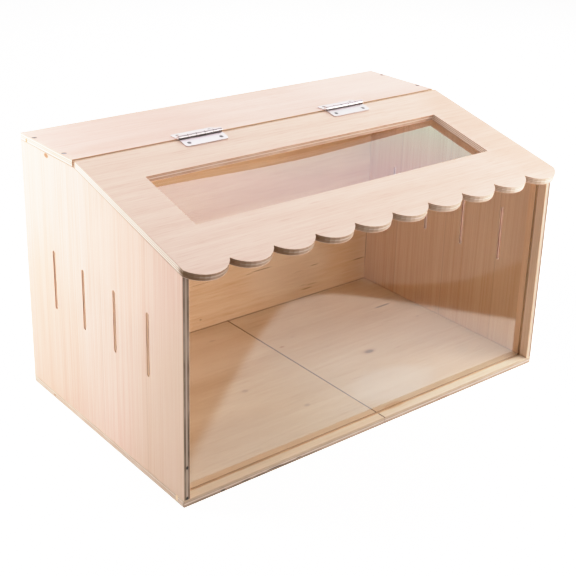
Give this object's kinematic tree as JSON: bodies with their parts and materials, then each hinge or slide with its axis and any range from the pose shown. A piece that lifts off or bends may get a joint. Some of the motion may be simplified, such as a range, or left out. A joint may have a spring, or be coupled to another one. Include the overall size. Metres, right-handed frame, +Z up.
{
  "type": "brooder box",
  "caption": "Plywood brooder box with vented sides, a clear front sheet and a hinged sloping lid that has a scalloped front edge and a clear window.",
  "frame": {"origin": "under the middle of the bounding box, on the surface that the box stands on", "axes": "+X along the width, to the right as seen from the front; the clear front faces -Y; +Z up"},
  "size_m": [0.6, 0.3856, 0.3612],
  "materials": {
    "birch_ply": "bare sanded plywood, pale, fine straight grain",
    "floor_ply": "bare sanded plywood with a knot",
    "clear_sheet": "clear polished acrylic",
    "zinc_plate": "bright zinc plate",
    "dark_steel": "dark phosphated screws"
  },
  "bodies": {
    "box": {"base_board_left": "floor_ply", "base_board_right": "floor_ply", "base_tongue": "floor_ply", "side_panel_left": "birch_ply", "side_panel_right": "birch_ply", "back_panel": "birch_ply", "top_board": "birch_ply", "hinge_left_fixed_leaf": "zinc_plate", "hinge_right_fixed_leaf": "zinc_plate", "hinge_left_pin": "zinc_plate", "hinge_right_pin": "zinc_plate", "top_screw_left_1": "dark_steel", "top_screw_left_2": "dark_steel", "base_screw_left_1": "dark_steel", "base_screw_left_2": "dark_steel", "base_screw_left_3": "dark_steel", "back_screw_left_1": "dark_steel", "back_screw_left_2": "dark_steel", "hinge_left_fixed_screw_1": "dark_steel", "hinge_left_fixed_screw_2": "dark_steel", "top_screw_right_1": "dark_steel", "top_screw_right_2": "dark_steel", "base_screw_right_1": "dark_steel", "base_screw_right_2": "dark_steel", "base_screw_right_3": "dark_steel", "back_screw_right_1": "dark_steel", "back_screw_right_2": "dark_steel", "hinge_right_fixed_screw_1": "dark_steel", "hinge_right_fixed_screw_2": "dark_steel"},
    "lid": {"lid_panel": "birch_ply", "lid_window_pane": "clear_sheet", "hinge_left_lid_leaf": "zinc_plate", "hinge_right_lid_leaf": "zinc_plate", "pane_screw_front_left": "zinc_plate", "pane_screw_front_right": "zinc_plate", "pane_screw_rear_left": "zinc_plate", "pane_screw_rear_right": "zinc_plate", "hinge_left_lid_screw_1": "dark_steel", "hinge_left_lid_screw_2": "dark_steel", "hinge_right_lid_screw_1": "dark_steel", "hinge_right_lid_screw_2": "dark_steel"},
    "front_sheet": {"front_pane": "clear_sheet"}
  },
  "joints": [
    {"name": "lid_hinge", "type": "hinge", "parent": "box", "child": "lid", "pos_m": [0, 0.05363, 0.3582], "axis": [-1, 0, 0], "range_deg": [0, 195]},
    {"name": "front_sheet_lift", "type": "slide", "parent": "box", "child": "front_sheet", "axis": [0, 0, 1], "range_m": [0, 0.004]}
  ]
}
